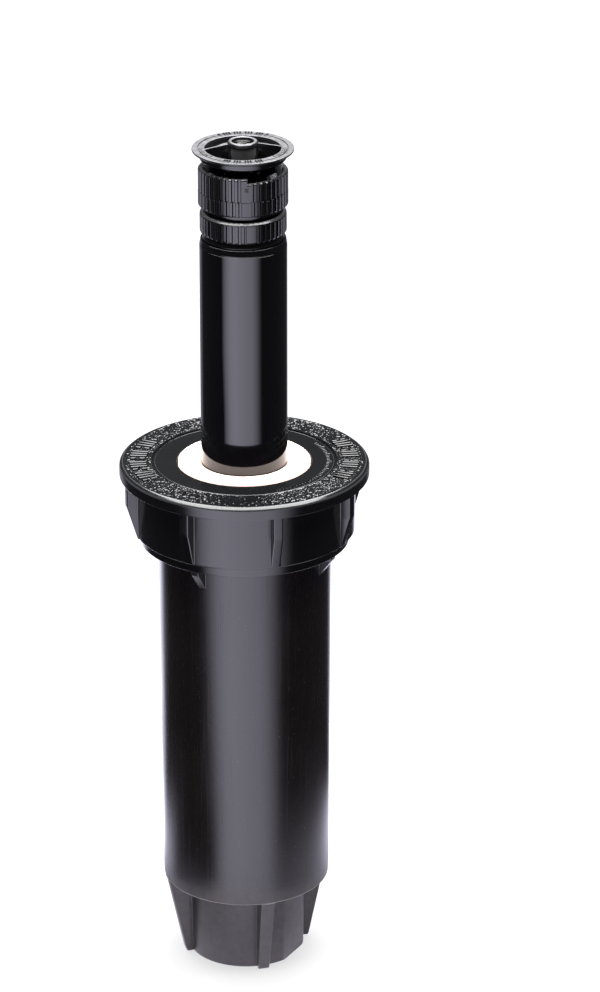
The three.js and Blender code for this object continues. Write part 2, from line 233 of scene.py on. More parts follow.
def turned(name, outline, angles, shape=None):
    """A solid swept round Z. shape(r, z, angle) may move the points of the finished grid."""
    points, edge = outline
    if winding(points) < 0:
        points, edge = points[::-1], edge[::-1]
    r = np.repeat(points[:, :1], len(angles), 1)
    z = np.repeat(points[:, 1:], len(angles), 1)
    if shape:
        r, z = shape(r, z, angles[None, :])
    verts = np.stack([r * np.cos(angles), r * np.sin(angles), z], -1).reshape(-1, 3)
    on_axis = points[0, 0] == 0 and points[-1, 0] == 0
    faces = grid_faces(len(points), len(angles), not on_axis)
    obj = mesh_object(name, verts, faces, np.repeat(edge, len(angles)))
    if on_axis:
        weld(obj)
    return shade(obj)


def weld(obj):
    bm = bmesh.new()
    bm.from_mesh(obj.data)
    bmesh.ops.remove_doubles(bm, verts=bm.verts, dist=1e-8)
    bm.to_mesh(obj.data)
    bm.free()


def morph(base, features):
    """A shape for turned: the outline becomes each feature's outline inside its window.

    features are (outline, function of angle) pairs, with as many points as base.
    """
    base_points = base[0]
    flipped = winding(base_points) < 0

    def shape(r, z, angle):
        for outline, weight in features:
            change = outline[0] - base_points
            change = change[::-1] if flipped else change
            amount = weight(angle)
            r = r + change[:, :1] * amount
            z = z + change[:, 1:] * amount
        return r, z

    return shape


def plate(name, outline, thickness, azimuth, bevel=0.1):
    """An upright plate from (radius, height) corners, with bevelled edges."""
    turn = Matrix.Rotation(azimuth, 3, "Z")
    bm = bmesh.new()
    sides = []
    for side in (-thickness / 2, thickness / 2):
        sides.append([bm.verts.new(turn @ Vector((r, side, z)) * MM) for r, z in outline])
    bm.faces.new(sides[0])
    bm.faces.new(sides[1][::-1])
    count = len(outline)
    for i in range(count):
        k = (i + 1) % count
        bm.faces.new([sides[0][k], sides[0][i], sides[1][i], sides[1][k]])
    bmesh.ops.recalc_face_normals(bm, faces=bm.faces)
    if bevel:
        bmesh.ops.bevel(
            bm, geom=bm.edges[:], offset=bevel * MM, segments=3, profile=0.5, affect="EDGES"
        )
    mesh = bpy.data.meshes.new(name)
    bm.to_mesh(mesh)
    bm.free()
    return shade(placed(name, mesh))


def swept(name, r, z, angle, sharp):
    """A closed solid from a section that is carried round Z, with one row of points a step."""
    verts = np.stack([r * np.cos(angle), r * np.sin(angle), z], -1)
    rows, count = verts.shape[:2]
    faces = grid_faces(rows, count, False)
    faces += [list(range(count))[::-1], [(rows - 1) * count + k for k in range(count)]]
    obj = mesh_object(name, verts.reshape(-1, 3), faces)
    bm = bmesh.new()
    bm.from_mesh(obj.data)
    bmesh.ops.recalc_face_normals(bm, faces=bm.faces)
    bm.to_mesh(obj.data)
    bm.free()
    return shade(obj, sharp)


def ridge(name, section, start, turns, rise, steps_per_turn=72, fade=0.12):
    """A thread ridge: a (radius, height) section swept up a screw, sinking into its wall at the
    ends. The section's first and last points are its root."""
    section = np.array(section, float)
    along = np.linspace(0, 1, round(turns * steps_per_turn) + 1)[:, None]
    angle = start + along * turns * TAU
    root = (section[0] + section[-1]) / 2
    size = smooth(np.minimum(along, 1 - along) * turns / fade)
    size = np.maximum(size, 0.02)
    r = root[0] + (section[:, 0] - root[0]) * size
    z = root[1] + (section[:, 1] - root[1]) * size + along * rise
    return swept(name, r, z, angle, 40)


def combined(obj, others, operation="UNION"):
    """Joins the other solids to obj, or takes them away from it, by a boolean."""
    for other in others:
        modifier = obj.modifiers.new("combine", "BOOLEAN")
        modifier.operation = operation
        modifier.solver = "MANIFOLD"
        modifier.object = other
        settled(obj)
        bpy.data.objects.remove(other)
    return shade(obj)


def settled(obj):
    """Applies obj's modifiers."""
    graph = bpy.context.evaluated_depsgraph_get()
    mesh = bpy.data.meshes.new_from_object(obj.evaluated_get(graph))
    obj.modifiers.clear()
    old = obj.data
    obj.data = mesh
    bpy.data.meshes.remove(old)
    mesh.name = obj.name


def grouped(name, objects):
    """Makes one object of several."""
    bm = bmesh.new()
    for obj in objects:
        bm.from_mesh(obj.data)
    mesh = bpy.data.meshes.new(name)
    bm.to_mesh(mesh)
    bm.free()
    for obj in objects:
        bpy.data.objects.remove(obj)
    return shade(placed(name, mesh))


def coil(name, radius, wire, bottom, top, turns, steps_per_turn=48, sides=12):
    """A spring of round wire whose turns lie close at both ends. wire is its radius."""
    along = np.linspace(0, 1, round(turns * steps_per_turn) + 1)[:, None]
    angle = along * turns * TAU
    dead = 0.9 / turns  # share of the height at each end where the turns lie close
    lift = smooth((along - dead * 0.5) / (1 - dead))
    closed = 2 * wire * along * turns
    free = (top - bottom - 2 * wire) - closed[-1]
    r = radius + wire * np.cos(even(sides))
    z = bottom + wire + closed + free * lift + wire * np.sin(even(sides))
    return swept(name, r, z, angle, 50)


# ---------------------------------------------------------------- materials


class Tree:
    """Short names for building a node tree."""

    def __init__(self, tree):
        self.tree = tree

    def new(self, kind, **settings):
        node = self.tree.nodes.new(kind)
        for key, value in settings.items():
            setattr(node, key, value)
        return node

    def link(self, source, target):
        self.tree.links.new(source, target)

    def math(self, operation, a, b=0.0):
        """One operation on sockets or plain numbers."""
        node = self.new("ShaderNodeMath", operation=operation)
        for socket, value in zip(node.inputs, (a, b)):
            if isinstance(value, (int, float)):
                socket.default_value = value
            else:
                self.link(value, socket)
        return node.outputs["Value"]

    def product(self, *values):
        result = values[0]
        for value in values[1:]:
            result = self.math("MULTIPLY", result, value)
        return result

    def axis(self, vector, letter):
        node = self.new("ShaderNodeSeparateXYZ")
        self.link(vector, node.inputs["Vector"])
        return node.outputs[letter]

    def ramp(self, value, stops, interpolation="LINEAR"):
        """stops are (value, level) pairs."""
        node = self.new("ShaderNodeValToRGB")
        node.color_ramp.interpolation = interpolation
        elements = node.color_ramp.elements
        while len(elements) < len(stops):
            elements.new(0.5)
        for element, (position, level) in zip(elements, stops):
            element.position = position
            element.color = (level, level, level, 1)
        self.link(value, node.inputs["Fac"])
        return node.outputs["Color"]

    def in_view(self, vector):
        """A point or direction seen from the camera's side: X to its right, Y away from it."""
        node = self.new("ShaderNodeVectorRotate", rotation_type="Z_AXIS")
        node.inputs["Angle"].default_value = VIEW_TURN
        self.link(vector, node.inputs["Vector"])
        return node.outputs["Vector"]


class Nodes(Tree):
    """The node tree of one plastic or metal."""

    def __init__(self, name):
        self.material = bpy.data.materials.new(name)
        self.material.use_nodes = True
        super().__init__(self.material.node_tree)
        self.shader = self.tree.nodes["Principled BSDF"]
        self.place = self.new("ShaderNodeTexCoord").outputs["Object"]

    def stretched(self, scale):
        node = self.new("ShaderNodeMapping")
        node.inputs["Scale"].default_value = scale
        self.link(self.place, node.inputs["Vector"])
        return node.outputs["Vector"]

    def noise(self, scale, detail, vector=None):
        node = self.new("ShaderNodeTexNoise")
        node.inputs["Scale"].default_value = scale
        node.inputs["Detail"].default_value = detail
        node.inputs["Roughness"].default_value = 0.55
        self.link(vector or self.place, node.inputs["Vector"])
        return node.outputs["Fac"]

    def spread(self, value, low_in, high_in, low_out, high_out, interpolation="LINEAR"):
        node = self.new("ShaderNodeMapRange", interpolation_type=interpolation)
        self.link(value, node.inputs["Value"])
        for key, number in zip(
            ("From Min", "From Max", "To Min", "To Max"), (low_in, high_in, low_out, high_out)
        ):
            node.inputs[key].default_value = number
        return node.outputs["Result"]

    def blend(self, factor, a, b):
        node = self.new("ShaderNodeMix", data_type="RGBA")
        self.link(factor, node.inputs["Factor"])
        for key, value in (("A", a), ("B", b)):
            socket = [s for s in node.inputs if s.name == key and s.type == "RGBA"][0]
            if isinstance(value, tuple):
                socket.default_value = (*value, 1)
            else:
                self.link(value, socket)
        return [s for s in node.outputs if s.type == "RGBA"][0]

    def bump(self, heights):
        """heights are (value, strength, distance in metres), laid over each other."""
        normal = None
        for value, strength, distance in heights:
            node = self.new("ShaderNodeBump")
            node.inputs["Strength"].default_value = strength
            node.inputs["Distance"].default_value = distance
            self.link(value, node.inputs["Height"])
            if normal is not None:
                self.link(normal, node.inputs["Normal"])
            normal = node.outputs["Normal"]
        self.link(normal, self.shader.inputs["Normal"])

    def edges(self):
        """1 on rounded edges, 0 elsewhere."""
        return self.new("ShaderNodeAttribute", attribute_name="edge").outputs["Fac"]


FOOT_FADE_SWAY = 8  # how far the top of the grey foot (scuffing and painted floor light) wanders, in millimetres
DEEP_GRAIN, LIGHT_GRAIN = 0.00003, 0.00002  # bump distances in metres


def black_plastic(
    name, base, edge_highlight, rough, grain=900, grain_depth=0.25, streaks=0.0, specks=0.0,
    foot_scuff_and_light=None, matt_and_lit_top=None,
):
    """Moulded black plastic: cloudy gloss, fine grain and rounded edges painted paler, a painted
    highlight.

    edge_highlight is the colour painted on rounded edges, a painted highlight, and streaks and
    specks are the strength of upright rub marks and of dust. foot_scuff_and_light is a (full,
    none) pair of heights between which the grey at the foot fades out; that grey is partly real
    dull scuffing and partly painted light from the bright floor, and a pale painted highlight
    line runs along the case's lower rim. matt_and_lit_top is a height above which faces that look
    up are dull, and painted paler as if lit from above.
    """
    n = Nodes(name)
    cloud = n.noise(38, 4)
    fine = n.noise(grain, 2)
    colour = n.blend(n.spread(cloud, 0.35, 0.7, 0, 1), base, tuple(c * 1.35 for c in base))
    # Rounded edges are painted paler: a painted highlight along them.
    colour = n.blend(n.math("MULTIPLY", n.edges(), 0.55), colour, edge_highlight)
    gloss = n.spread(cloud, 0.3, 0.75, rough * 0.85, rough * 1.2)
    heights = [(fine, grain_depth, DEEP_GRAIN)]
    if streaks:
        rubbed = n.noise(1400, 2, n.stretched((1, 1, 0.02)))
        marks = n.spread(rubbed, 0.56, 0.72, 0, 1)
        gloss = n.math("ADD", gloss, n.math("MULTIPLY", marks, streaks))
        heights.append((rubbed, 0.12, LIGHT_GRAIN))
    if specks:
        dust = n.spread(n.noise(2600, 1), 0.72, 0.78, 0, 1)
        colour = n.blend(n.math("MULTIPLY", dust, specks), colour, (0.35, 0.34, 0.35))
    gloss = n.math("ADD", gloss, n.math("MULTIPLY", n.edges(), 0.04))
    if foot_scuff_and_light:
        height = n.axis(n.place, "Z")
        uneven = n.math("ADD", height, n.math("MULTIPLY", n.noise(45, 0), FOOT_FADE_SWAY * MM))
        full, none = [(level + FOOT_FADE_SWAY / 2) * MM for level in foot_scuff_and_light]
        # The foot turns grey and duller: partly real scuffing, partly painted light from the
        # bright floor.
        dull = n.spread(uneven, full, none, 1, 0, "SMOOTHSTEP")
        mottle = n.spread(n.noise(420, 4), 0.35, 0.7, 0, 1)
        grey = n.blend(mottle, (0.054, 0.045, 0.044), (0.086, 0.074, 0.073))
        colour = n.blend(dull, colour, grey)
        # A painted highlight: a pale line along the case's lower rim.
        lip = n.math("ABSOLUTE", n.math("SUBTRACT", height, (CASE_FOOT + 0.12) * MM))
        colour = n.blend(n.spread(lip, 0.10 * MM, 0.22 * MM, 0.8, 0), colour, (0.48, 0.45, 0.45))
        gloss = n.math("ADD", gloss, n.math("MULTIPLY", dull, 0.16))
    if matt_and_lit_top:
        # Faces that look up above the height are painted paler, as if lit from overhead, and made
        # rougher.
        facing = n.axis(n.new("ShaderNodeNewGeometry").outputs["Normal"], "Z")
        up = n.spread(facing, 0.6, 0.9, 0, 1)
        top = n.math("MULTIPLY", up, n.spread(
            n.axis(n.place, "Z"), (matt_and_lit_top - 0.2) * MM, matt_and_lit_top * MM, 0, 1
        ))
        lit_patch = n.spread(n.noise(900, 4), 0.35, 0.7, 0, 1)
        colour = n.blend(top, colour, n.blend(lit_patch, (0.05, 0.05, 0.053), (0.11, 0.11, 0.117)))
        gloss = n.math("ADD", gloss, n.math("MULTIPLY", top, 0.22))
    n.link(colour, n.shader.inputs["Base Color"])
    n.link(gloss, n.shader.inputs["Roughness"])
    n.shader.inputs["IOR"].default_value = 1.49
    n.bump(heights)
    return n.material


# The tint of a pale plastic's painted glow.
GLOW_TINT = (1.0, 0.67, 0.57, 1)


def pale_plastic(name, base, rough, stain, glow=0.0):
    """Natural moulded plastic: faint mottling and flow marks. glow is painted light: an emission
    that brightens it, though it is no lamp.
    """
    n = Nodes(name)
    cloud = n.noise(55, 5)
    flow = n.noise(240, 3, n.stretched((1, 1, 0.2)))
    colour = n.blend(n.spread(cloud, 0.35, 0.75, 0, 1), base, stain)
    n.link(colour, n.shader.inputs["Base Color"])
    n.link(n.spread(flow, 0.3, 0.7, rough * 0.85, rough * 1.15), n.shader.inputs["Roughness"])
    n.bump([(flow, 0.1, DEEP_GRAIN), (n.noise(1500, 2), 0.15, LIGHT_GRAIN)])
    if glow:
        n.shader.inputs["Emission Color"].default_value = GLOW_TINT
        n.shader.inputs["Emission Strength"].default_value = glow
    return n.material


def rubber(name):
    """Black rubber: dull and a little cloudy."""
    n = Nodes(name)
    cloud = n.noise(90, 4)
    colour = n.blend(n.spread(cloud, 0.3, 0.7, 0, 1), (0.012, 0.012, 0.012), (0.03, 0.029, 0.028))
    n.link(colour, n.shader.inputs["Base Color"])
    n.link(n.spread(cloud, 0.3, 0.7, 0.55, 0.75), n.shader.inputs["Roughness"])
    n.bump([(n.noise(1800, 3), 0.3, DEEP_GRAIN)])
    return n.material


def steel(name):
    """Drawn wire: bright, with fine lines."""
    n = Nodes(name)
    lines = n.noise(2200, 2, n.stretched((1, 1, 0.15)))
    tint = n.noise(120, 3)
    colour = n.blend(n.spread(tint, 0.3, 0.7, 0, 1), (0.60, 0.60, 0.58), (0.46, 0.46, 0.45))
    n.shader.inputs["Metallic"].default_value = 1
    n.link(colour, n.shader.inputs["Base Color"])
    n.link(n.spread(lines, 0.3, 0.7, 0.16, 0.34), n.shader.inputs["Roughness"])
    n.bump([(lines, 0.12, LIGHT_GRAIN)])
    return n.material


# Each black plastic's second colour is painted on its rounded edges: a painted highlight.
CASE = black_plastic(
    "case_plastic", (0.0064, 0.0042, 0.0040), (0.14, 0.13, 0.13), 0.25,
    # The foot's grey is partly scuffing and partly painted floor light, with a painted highlight
    # line on the rim.
    streaks=0.08, specks=0.2, foot_scuff_and_light=(17, 25),
)
CAP = black_plastic("cap_plastic", (0.0034, 0.0036, 0.0042), (0.045, 0.045, 0.048), 0.16)
STEM = black_plastic(
    "riser_plastic", (0.0022, 0.0020, 0.0026), (0.006, 0.006, 0.007), 0.055,
    grain=300, grain_depth=0.03,
)
# Colours painted on rounded edges: painted highlights.
NOZZLE_BLACK, NOZZLE_EDGE, RIB_EDGE = (
    (0.0040, 0.0040, 0.0048), (0.010, 0.010, 0.012), (0.014, 0.014, 0.016)
)
GLOSS = black_plastic("mark_plastic", NOZZLE_BLACK, NOZZLE_EDGE, 0.12)
# Above these heights, faces that look up are painted paler: painted light from overhead.
NOZZLE = black_plastic("nozzle_plastic", NOZZLE_BLACK, NOZZLE_EDGE, 0.15, matt_and_lit_top=198.7)
COLLAR = black_plastic("collar_plastic", NOZZLE_BLACK, RIB_EDGE, 0.13, matt_and_lit_top=193.2)
RING = black_plastic("ring_plastic", NOZZLE_BLACK, RIB_EDGE, 0.13, matt_and_lit_top=184.0)
# seal_white glows: painted light that keeps the seal bright, though it is no lamp.
WHITE = pale_plastic("seal_white", (0.90, 0.81, 0.75), 0.34, (0.86, 0.76, 0.70), 1.2)
# Pale so the valve teeth, which sit in shade under the rim, show bright: painted light.
LIT_TOOTH = pale_plastic("lit_tooth_plastic", (0.62, 0.63, 0.66), 0.40, (0.50, 0.51, 0.54))
GREY = pale_plastic("grey_plastic", (0.30, 0.31, 0.33), 0.42, (0.24, 0.25, 0.27))
SCREEN = pale_plastic("screen_plastic", (0.16, 0.18, 0.20), 0.45, (0.12, 0.13, 0.15))
RUBBER = rubber("black_rubber")
STEEL = steel("spring_steel")


def finish(obj, material, slot, body, *nodes):
    """Gives a new piece its material and its body, and hides the nodes it stands for. slot is not
    used.
    """
    obj.data.materials.clear()
    obj.data.materials.append(material)
    if body:
        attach(obj, body)
    if nodes:
        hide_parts(*nodes)


# ---------------------------------------------------------------- case

FIN_CENTRES = even(4)
GUSSET_CENTRES = even(4) + TAU / 8
FLAT_CENTRES = [-TAU / 8, TAU * 3 / 8]
FLAT_AWAY = 12.65  # from the axis to a wrench flat
THREAD_MIDDLE = 109.5  # middle height of the first turn between cap and neck
THREAD_TURNS, THREAD_RISE = 2, 6
PIPE_PITCH = 1.814
PIPE_TURNS = 6
PIPE_TAPER = 0.35  # height in metres at which the tapered inlet thread would close


def thread_section(root, crest, middle):
    """A blunt thread ridge from its root radius to its crest radius."""
    return [
        (root, middle - 0.75),
        (crest, middle - 0.35),
        (crest, middle + 0.35),
        (root, middle + 0.75),
    ]


def case_shell():
    gusset_top = CAP_FOOT - 0.3
    inside = [
        (18.9, NECK_TOP, 0.3),
        (18.2, NECK_TOP - 3, 0.6),
        (17.5, 25.0, 1.5),
        (15.6, 21.8, 1.0),
        (9.0, 21.8, 0.2),
        (8.8, 22.4, 0.15),
        (8.2, 22.4, 0.15),
        (8.2, 15.6, 0.3),
        (9.6, 15.0, 0.3),
        (10.4, 0.9, 0.2),
        (11.0, 0.0, 0.2),
    ]

    def outline(fin, gusset):
        boss = 15.0 if fin else 13.5
        root = CASE_FOOT_R - 0.25 if fin else 13.75
        lip = 23.2 if gusset else CASE_TOP_R
        return rounded([
            (boss, 0.0, 0.35),
            (boss + (0.25 if fin else 0), 1.0, 0.3),
            (root, CASE_FOOT - 0.1, 0.3),
            (CASE_FOOT_R - 0.05 if fin else CASE_FOOT_R - 0.1, CASE_FOOT, 0.42),
            (CASE_FOOT_R, CASE_FOOT + 3, 0.6),
            (CASE_TOP_R - 0.03, gusset_top - 5.2, 0.3),
            (lip, gusset_top - (0.7 if gusset else 1.4), 0.3),
            (lip, gusset_top, 0.15),
            (CASE_TOP_R, gusset_top + 0.05, 0.1),
            (CASE_TOP_R, gusset_top + 1.2, 0.2),
            (21.0, gusset_top + 2.7, 0.3),
            (21.0, NECK_TOP, 0.3),
        ] + inside)

    base = outline(False, False)
    fins = Rib(FIN_CENTRES, 2.9, 16.5, 3.2)
    gussets = Rib(GUSSET_CENTRES, 1.8, 21.5, 3.3, 0.25, 0.2)
    angles = gathered(even(240), fins.angles(), gussets.angles())
    to_features = morph(base, [
        (outline(True, False), fins.weight),
        (outline(False, True), gussets.weight),
    ])

    def shape(r, z, angle):
        r, z = to_features(r, z, angle)
        chord = FLAT_AWAY / np.cos(np.minimum(close_to(angle, FLAT_CENTRES), 0.6))
        on_boss = (z < CASE_FOOT - 1.2) & (r > 12.2) & (r < 13.9)
        return np.where(on_boss, np.minimum(r, chord), r), z

    body = turned("case_shell", base, angles, shape)
    neck_thread = ridge(
        "neck_thread", thread_section(20.7, 21.75, THREAD_MIDDLE), 0, THREAD_TURNS, THREAD_RISE
    )
    shares = [(10.6, 0), (9.5, 0.42), (9.5, 0.5), (10.6, 0.92)]
    inlet_section = [(r, 1.2 + PIPE_PITCH * share) for r, share in shares]
    inlet_thread = ridge("inlet_thread", inlet_section, 0.4, PIPE_TURNS, PIPE_PITCH * PIPE_TURNS)
    for vertex in inlet_thread.data.vertices:
        taper = 1 - vertex.co.z / PIPE_TAPER
        vertex.co.x *= taper
        vertex.co.y *= taper
    guide = [(16.6, 24.5), (17.9, 24.5), (18.2, 103), (16.6, 103)]
    guides = [plate(f"guide_rib_{i}", guide, 1.6, a, 0.15) for i, a in enumerate(FIN_CENTRES)]
    body = combined(body, [neck_thread, inlet_thread, *guides])
    finish(body, CASE, "case_plastic", "case", "case_body")


# ---------------------------------------------------------------- cap

CAP_RIBS = even(8)
BAND_IN, BAND_OUT = 21.0, CAP_R - 1.1  # the stippled band on the cap's top
BAND_EDGE = BAND_IN + 0.15
RING_DROP = 0.2  # how far the smooth ring inside the band lies below it
FLANGE_FOOT = CAP_TOP - 3.1
STIPPLE_ROWS, STIPPLE_COLUMNS = 24, 520
STIPPLE_WIDTH = 0.29  # of one row
STIPPLE_DEPTH = 0.15


def stipple(r, angle):
    """Small uneven bumps, about 0.3 mm apart, from 0 on a bump's top to 1 between bumps."""
    rows, columns = STIPPLE_ROWS, STIPPLE_COLUMNS
    heights = np.random.default_rng(11).random((rows, columns)) ** 1.5
    across = np.clip((r - BAND_IN) / STIPPLE_WIDTH, 0, rows - 1.001)
    along = (angle % TAU) / TAU * columns
    along = along + 0.5 * (across.astype(int) % 2)
    i, j = across.astype(int), along.astype(int)
    u, v = smooth(across - i), smooth(along - j)
    k = (i + 1) % rows
    here, right = j % columns, (j + 1) % columns
    near = heights[i, here] * (1 - v) + heights[i, right] * v
    far = heights[k, here] * (1 - v) + heights[k, right] * v
    return near * (1 - u) + far * u


def cap_shell():
    band = [(r, CAP_TOP) for r in np.linspace(BAND_OUT, BAND_EDGE, 46)]

    def outline(rib):
        knee = 28.0 if rib else 25.4
        foot = 25.6 if rib else 25.4
        return rounded([
            (22.2, CAP_FOOT, 0.15),
            (24.25, CAP_FOOT + 0.25, 0.22),
            (24.6, CAP_FOOT + 2.35, 0.12),
            (foot, CAP_FOOT + 2.7, 0.2),
            (knee, CAP_TOP - 8.5, 0.35),
            (knee, FLANGE_FOOT, 0.25),
            (CAP_R, FLANGE_FOOT, 0.2),
            (CAP_R, CAP_TOP - 0.62, 0.35),
            (CAP_R - 0.8, CAP_TOP, 0.3),
            *band,
            (BAND_IN, CAP_TOP - RING_DROP - 0.25, 0.1),
            (BAND_IN - 0.35, CAP_TOP - RING_DROP - 0.25, 0.1),
            (BAND_IN - 0.5, CAP_TOP - RING_DROP, 0.12),
            (SEAL_HOLE_R, CAP_TOP - RING_DROP, 0.12),
            (SEAL_HOLE_R, CAP_TOP - 2.5, 0.1),
            (13.0, CAP_TOP - 2.5, 0.15),
            (13.0, CAP_TOP - 5.3, 0.2),
            (22.2, CAP_TOP - 5.3, 0.3),
        ], steps=5)

    base = outline(False)
    ribs = Rib(CAP_RIBS, 2.2, 26.7, 2.6, 0.32, 0.25)
    angles = gathered(even(3 * STIPPLE_COLUMNS), ribs.angles())
    to_ribs = morph(base, [(outline(True), ribs.weight)])

    def shape(r, z, angle):
        r, z = to_ribs(r, z, angle)
        inner = smooth((r - BAND_EDGE) / 0.3)
        outer = smooth((BAND_OUT - 0.05 - r) / 0.3)
        on_top = (z > CAP_TOP - 0.001) * inner * outer
        return r, z - on_top * STIPPLE_DEPTH * stipple(r, angle)

    shell = turned("cap_shell", base, angles, shape)
    section = thread_section(22.5, 21.45, THREAD_MIDDLE - 1.5)  # half a pitch below the neck's
    thread = ridge("cap_thread", section, 0, THREAD_TURNS, THREAD_RISE)
    finish(combined(shell, [thread]), CAP, "cap_plastic", "cap", "cap")


def bar(name, inner, outer, azimuth, width, floor, height):
    """A small raised radial bar on a face at height floor, sunk a little into it."""
    sunk, top = floor - 0.15, floor + height
    outline = [(inner, sunk), (outer, sunk), (outer, top), (inner, top)]
    return plate(name, outline, width, azimuth, min(0.32, width * 0.45, (height + 0.15) * 0.48))


def cap_marks():
    """Generic raised bars and dots on the band, and a fine scale on the smooth ring."""
    marks = []
    floor = CAP_TOP - 0.12
    for centre in (165, -15):  # azimuths in degrees, as all below
        for k, offset in enumerate(np.arange(-27, 27.1, 3.0)):
            azimuth = math.radians(centre + offset)
            if k % 5 < 3:
                marks.append(bar("mark", 22.3, 26.4, azimuth, 0.85, floor, 0.45))
            elif k % 5 == 3:
                for inner in (22.6, 24.7):
                    marks.append(bar("mark", inner, inner + 1.5, azimuth, 1.3, floor, 0.45))
    for offset in (-4, 0, 4):
        azimuth = math.radians(-136 + offset)
        marks.append(bar("mark", 23.4, 25.6, azimuth, 0.7, floor, 0.4))
    ring_floor = CAP_TOP - RING_DROP
    for k, degrees in enumerate(np.arange(-84, 15, 2.6)):
        outer = 19.6 if k % 5 else 20.1
        marks.append(bar("mark", 18.7, outer, math.radians(degrees), 0.36, ring_floor, 0.2))
    finish(grouped("cap_marks", marks), CAP, "cap_plastic", "cap")


def wiper():
    top = CAP_TOP
    outline = rounded([
        (10.24, top, 0.06),
        (10.24, top - 0.9, 0.2),
        (11.3, top - 1.9, 0.25),
        (10.3, top - 2.5, 0.1),
        (10.3, top - 3.0, 0.1),
        (11.3, top - 3.8, 0.25),
        (10.3, top - 4.4, 0.1),
        (10.3, top - 5.1, 0.15),
        (12.8, top - 5.1, 0.25),
        (12.8, top - 2.3, 0.15),
        (SEAL_R, top - 2.3, 0.2),
        (SEAL_R, top, 0.14),
    ])
    # The seal's material glows: painted light.
    finish(turned("wiper", outline, even(192)), WHITE, "seal_white", "cap", "wiper_seal")


# ---------------------------------------------------------------- riser

FLANGE_LOW, FLANGE_HIGH = 96.4, 98.4  # the ratchet flange round the stem
RATCHET_TEETH = 18
BORE_STEP = 171  # where the bore widens for the nozzle


def stem():
    top = STEM_TOP
    tube = turned("stem", rounded([
        (7.9, STEM_FOOT, 0.15),
        (STEM_R, STEM_FOOT, 0.25),
        (STEM_R, FLANGE_LOW, 0.2),
        (14.4, FLANGE_LOW, 0.2),
        (14.4, FLANGE_HIGH, 0.2),
        (STEM_R, FLANGE_HIGH, 0.3),
        (STEM_R, top - 1.65, 0.05),
        (STEM_R - 0.07, top - 1.6, 0.04),
        (STEM_R - 0.07, top - 1.45, 0.04),
        (STEM_R, top - 1.4, 0.05),
        (STEM_R - 0.27, top, 0.12),
        (8.4, top, 0.15),
        (8.4, BORE_STEP, 0.15),
        (7.9, BORE_STEP, 0.1),
    ]), even(256))
    tooth = [(11.2, 98.2), (14, 98.2), (14, 99), (11.2, 99)]
    teeth = [
        plate(f"tooth_{i}", tooth, 0.8, (i + 0.5) * TAU / RATCHET_TEETH)
        for i in range(RATCHET_TEETH)
    ]
    finish(combined(tube, teeth), STEM, "riser_plastic", "riser", "riser_stem")


# ---------------------------------------------------------------- nozzle

KNURLS = 44
KNURL_PITCH = TAU / KNURLS
KNURL_DEPTH = 0.4
LOWER_PHASE = 0.15  # how far the collar's lower ribs stand off its upper ones, in pitches
COLLAR_PAD = math.radians(-101.1)  # middle of the collar's smooth pad
COLLAR_STEP = math.radians(-100.7)  # where the collar's rising upper edge steps down
VALVE_TEETH = 7
VANES = 8
SPOKES = [math.radians(-9), math.radians(171)]
RIM_TOP = 199.1


def knurl_angles(phases, extra=()):
    """Angles that follow the ribs of each phase closely."""
    half = np.array([0, 0.13, 0.2, 0.225, 0.25, 0.275, 0.3, 0.33, 0.4])
    within = np.concatenate([half, -half[1:], [0.5]])
    ribs = [(k + within + phase) * KNURL_PITCH for k in range(KNURLS) for phase in phases]
    return gathered(*ribs, extra)


def groove(angle, phase, pad, pad_half):
    """0 on a rib or on the smooth pad, 1 in the groove between two ribs."""
    across = np.abs((angle / KNURL_PITCH - phase + 0.5) % 1 - 0.5)
    between = smooth((across - 0.19) / 0.15)
    return between * (close_to(angle, [pad]) > pad_half)


def lower_ring():
    foot, top, full = low("radius_ring"), high("radius_ring"), reach("radius_ring")
    pad = math.radians(-96)

    def outline(depth):
        crest = full - depth
        return rounded([
            (8.6, foot, 0.1),
            (9.3, foot, 0.1),
            (crest, foot + 0.45, 0.12),
            (crest, top - 0.75, 0.05),
            (full - 0.03, top - 0.62, 0.05),
            (full - 0.03, top - 0.45, 0.08),
            (full - 0.5, top, 0.12),
            (8.6, top, 0.1),
        ])

    base = outline(0)
    shape = morph(base, [(outline(0.42), lambda a: groove(a, 0, pad, 0.1))])
    ring = turned("lower_ring", base, knurl_angles([0]), shape)
    finish(ring, RING, "nozzle_plastic", "radius_control", "radius_ring")


